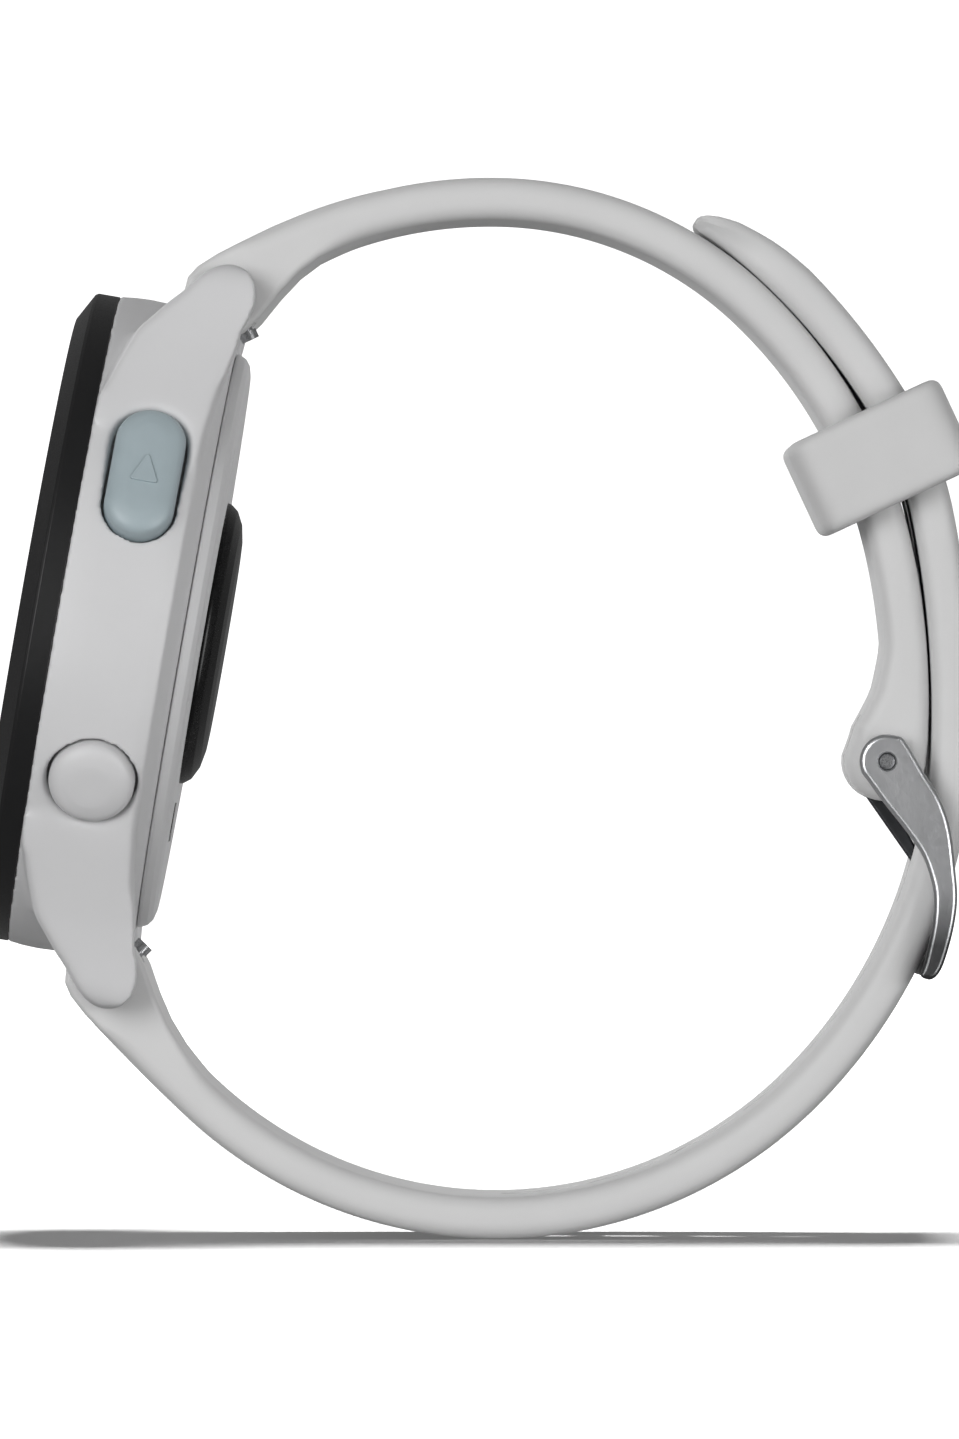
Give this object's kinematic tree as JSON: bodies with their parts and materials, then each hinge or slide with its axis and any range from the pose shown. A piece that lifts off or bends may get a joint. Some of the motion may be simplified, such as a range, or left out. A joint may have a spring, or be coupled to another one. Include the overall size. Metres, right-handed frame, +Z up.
{
  "type": "gps running watch",
  "caption": "Round running watch with side buttons on a silicone strap, closed in a loop by a tongue buckle and keeper, with quick-release spring bars.",
  "frame": {"origin": "middle of the wrist opening, halfway across the strap", "axes": "+Y through the wrist opening along the wearer's arm, 9 o'clock side at +Y; +Z up the loop toward the 12 o'clock end; the display faces -X, leaning 9.9 degrees back"},
  "size_m": [0.0656, 0.0443, 0.0694],
  "materials": {
    "glass_black": "gloss black-bordered cover glass",
    "gasket": "matt",
    "display": "dark, switched off",
    "bezel_black": "satin",
    "case_grey": "fine matt",
    "antenna": "plated",
    "chassis": "milled",
    "board": "solder mask",
    "battery_foil": "foil pouch",
    "steel": "bright",
    "rotor": "sintered",
    "black_plastic": "moulded",
    "window": "gloss",
    "cover_grey": "matt",
    "gold": "plated",
    "run_grey": "satin",
    "strap": "soft matt",
    "gunmetal": "anodised, bright edges"
  },
  "bodies": {
    "watch": {"lens": "glass_black", "display_gasket": "gasket", "display_panel": "display", "bezel": "bezel_black", "antenna_ring": "antenna", "mid_case": "case_grey", "chassis_plate": "chassis", "main_board": "board", "battery": "battery_foil", "motor_can": "steel", "buzzer": "black_plastic", "switches": "black_plastic", "button_seals": "gasket", "sensor_board": "board", "sensor_window": "window", "rear_cover": "cover_grey", "rear_gasket": "gasket", "case_screws": "steel", "charge_port": "black_plastic", "charge_contacts": "gold", "strap_short": "strap", "strap_long": "strap", "buckle_pin": "steel", "run_spring": "steel", "back_spring": "steel", "light_spring": "steel", "up_spring": "steel", "down_spring": "steel", "top_bar_tube": "steel", "top_bar_tip": "steel", "top_bar_spring": "steel", "low_bar_tube": "steel", "low_bar_tip": "steel", "low_bar_spring": "steel"},
    "run_button": {"run_cap": "run_grey", "run_clip": "steel"},
    "back_button": {"back_cap": "case_grey", "back_clip": "steel"},
    "light_button": {"light_cap": "case_grey", "light_clip": "steel"},
    "up_button": {"up_cap": "case_grey", "up_clip": "steel"},
    "down_button": {"down_cap": "case_grey", "down_clip": "steel"},
    "top_lever": {"top_bar_lever": "steel"},
    "low_lever": {"low_bar_lever": "steel"},
    "rotor": {"motor_rotor": "rotor"},
    "frame": {"buckle_frame": "gunmetal"},
    "tongue": {"buckle_tongue": "gunmetal"},
    "keeper_loop": {"keeper": "strap"}
  },
  "joints": [
    {"name": "run_press", "type": "slide", "parent": "watch", "child": "run_button", "axis": [-0.0807, 0.8829, -0.4625], "range_m": [0, 0.0005], "stiffness_N_per_m": 3000, "springref_m": -0.0005, "deforming": ["run_spring"]},
    {"name": "back_press", "type": "slide", "parent": "watch", "child": "back_button", "axis": [0.0807, 0.8829, 0.4625], "range_m": [0, 0.0005], "stiffness_N_per_m": 3000, "springref_m": -0.0005, "deforming": ["back_spring"]},
    {"name": "light_press", "type": "slide", "parent": "watch", "child": "light_button", "axis": [-0.0807, -0.8829, -0.4625], "range_m": [0, 0.0005], "stiffness_N_per_m": 3000, "springref_m": -0.0005, "deforming": ["light_spring"]},
    {"name": "up_press", "type": "slide", "parent": "watch", "child": "up_button", "axis": [0, -1, 0], "range_m": [0, 0.0005], "stiffness_N_per_m": 3000, "springref_m": -0.0005, "deforming": ["up_spring"]},
    {"name": "down_press", "type": "slide", "parent": "watch", "child": "down_button", "axis": [0.0807, -0.8829, 0.4625], "range_m": [0, 0.0005], "stiffness_N_per_m": 3000, "springref_m": -0.0005, "deforming": ["down_spring"]},
    {"name": "top_lever_slide", "type": "slide", "parent": "watch", "child": "top_lever", "axis": [0, 1, 0], "range_m": [0, 0.0014], "stiffness_N_per_m": 800, "springref_m": -0.001, "deforming": ["top_bar_spring"]},
    {"name": "low_lever_slide", "type": "slide", "parent": "watch", "child": "low_lever", "axis": [0, 1, 0], "range_m": [0, 0.0014], "stiffness_N_per_m": 800, "springref_m": -0.001, "deforming": ["low_bar_spring"]},
    {"name": "buckle_swing", "type": "hinge", "parent": "watch", "child": "frame", "pos_m": [0.02163, 0, -0.00327], "axis": [0, -1, 0], "range_deg": [0, 1.5]},
    {"name": "tongue_swing", "type": "hinge", "parent": "frame", "child": "tongue", "pos_m": [0.02163, 0, -0.00327], "axis": [0, -1, 0], "range_deg": [0, 1.2]},
    {"name": "keeper_slide", "type": "hinge", "parent": "watch", "child": "keeper_loop", "pos_m": [-0.00875, 0, 0.00389], "axis": [0, 1, 0], "range_deg": [-4, 4]},
    {"name": "rotor_spin", "type": "hinge", "parent": "watch", "child": "rotor", "pos_m": [-0.02615, 0, 0.02016], "axis": [-0.9851, 0, 0.1719], "continuous": true}
  ]
}
